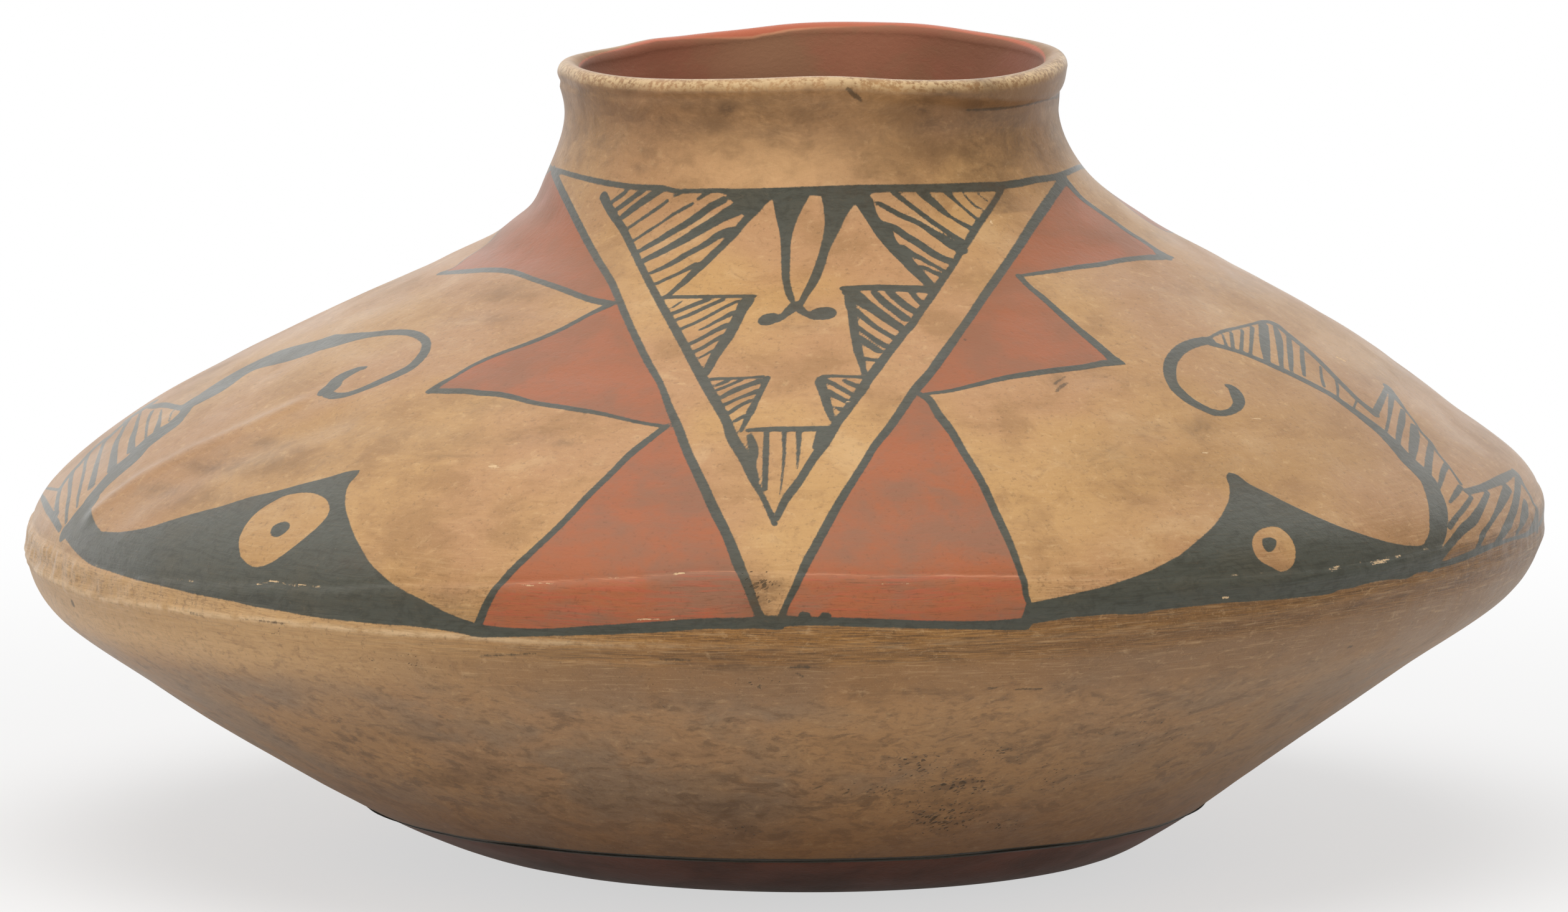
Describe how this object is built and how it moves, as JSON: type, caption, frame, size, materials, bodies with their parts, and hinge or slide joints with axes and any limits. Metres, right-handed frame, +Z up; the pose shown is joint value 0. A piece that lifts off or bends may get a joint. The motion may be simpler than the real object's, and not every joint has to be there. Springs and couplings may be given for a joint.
{
  "type": "pottery jar",
  "caption": "Wide, low, coil-built pottery jar with a sharp keel, a sloping painted shoulder, a short flared neck and a rolled lip, on a small flat base.",
  "frame": {"origin": "on the ground under the middle of the keel, the jar's widest ring; the flat base is centred 5 mm towards +X of it", "axes": "+Z up out of the mouth; +X towards the side that the neck leans to; the picture looks along +Y, so its side of the jar is at -Y"},
  "size_m": [0.29, 0.29, 0.1542],
  "materials": {
    "buff_slip": "stone-burnished buff slip over fired clay, painted in matt black and red, worn and smoked",
    "red_slip": "matt dark red slip over fired clay"
  },
  "bodies": {
    "root": {"base_moulded": "red_slip", "lower_wall_coil_1": "buff_slip", "lower_wall_coil_2": "buff_slip", "lower_wall_coil_3": "buff_slip", "lower_wall_coil_4": "buff_slip", "keel_coil_1": "buff_slip", "keel_coil_2": "buff_slip", "shoulder_coil_1": "buff_slip", "shoulder_coil_2": "buff_slip", "shoulder_coil_3": "buff_slip", "shoulder_coil_4": "buff_slip", "shoulder_coil_5": "buff_slip", "neck_coil_1": "buff_slip", "neck_coil_2": "buff_slip", "neck_coil_3": "buff_slip", "lip_coil": "buff_slip"}
  },
  "joints": []
}
